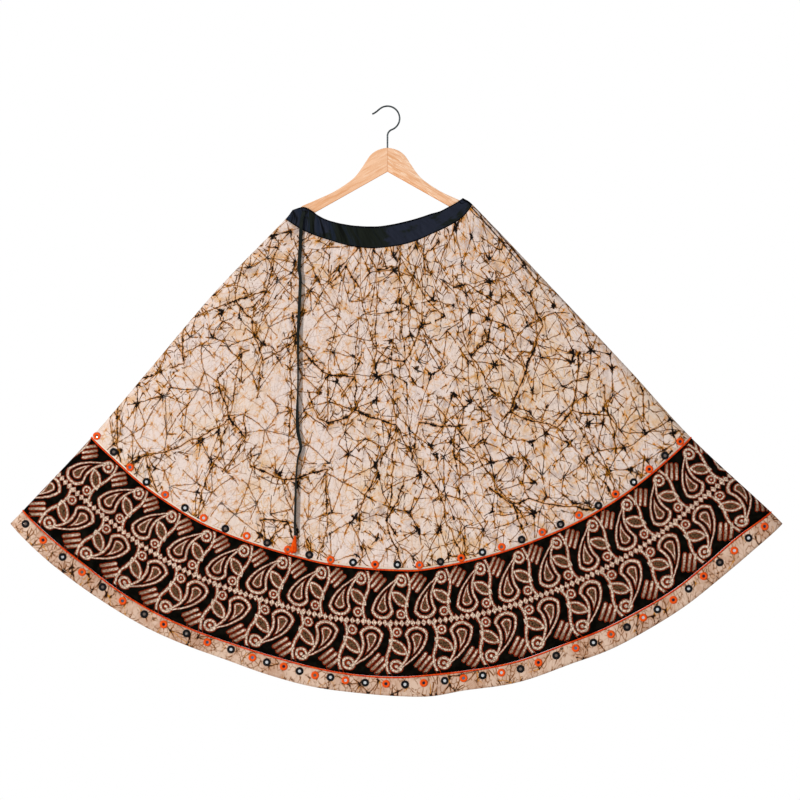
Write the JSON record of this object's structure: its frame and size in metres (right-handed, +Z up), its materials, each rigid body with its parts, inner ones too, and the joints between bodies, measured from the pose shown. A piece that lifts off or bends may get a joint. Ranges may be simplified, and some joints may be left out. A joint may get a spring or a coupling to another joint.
{
  "type": "batik skirt on a wooden clothes hanger",
  "caption": "Full flared drawstring skirt in crackle batik cotton with a dark figured border and mirror work, hung flat on a wooden clothes hanger with a steel hook.",
  "frame": {"origin": "top of the inside curve of the hanger's hook, where a wardrobe rail carries it", "axes": "+Z up; +X to the right across the width of the spread skirt as seen from its front; +Y from the front of the skirt to its back"},
  "size_m": [1.544, 0.0423, 1.1811],
  "materials": {
    "batik_body": "matte batik cotton, pink-beige with dark and ochre crackle",
    "batik_border": "matte batik cotton, near black with cream and rust figures",
    "batik_hem": "matte batik cotton, plain beige with sparse crackle",
    "band_navy": "navy cotton poplin with a faint sheen",
    "piping_orange": "twisted orange-red piping cord",
    "tape_dark": "flat woven tape, dark green-black",
    "tassel_orange": "folded orange cotton",
    "beech": "satin-varnished beech",
    "steel_wire": "bent steel wire",
    "mirror_glass": "small round sewn mirrors",
    "thread_orange": "orange embroidery thread",
    "thread_black": "black embroidery thread"
  },
  "bodies": {
    "root": {"waistband_front": "band_navy", "body_front": "batik_body", "piping_upper_front": "piping_orange", "border_front": "batik_border", "piping_lower_front": "piping_orange", "hem_front": "batik_hem", "waistband_back": "band_navy", "body_back": "batik_body", "piping_upper_back": "piping_orange", "border_back": "batik_border", "piping_lower_back": "piping_orange", "hem_back": "batik_hem", "drawstring": "tape_dark", "tassel": "tassel_orange", "hanger_arm_left": "beech", "hanger_arm_right": "beech", "hanger_hook": "steel_wire"}
  },
  "joints": []
}
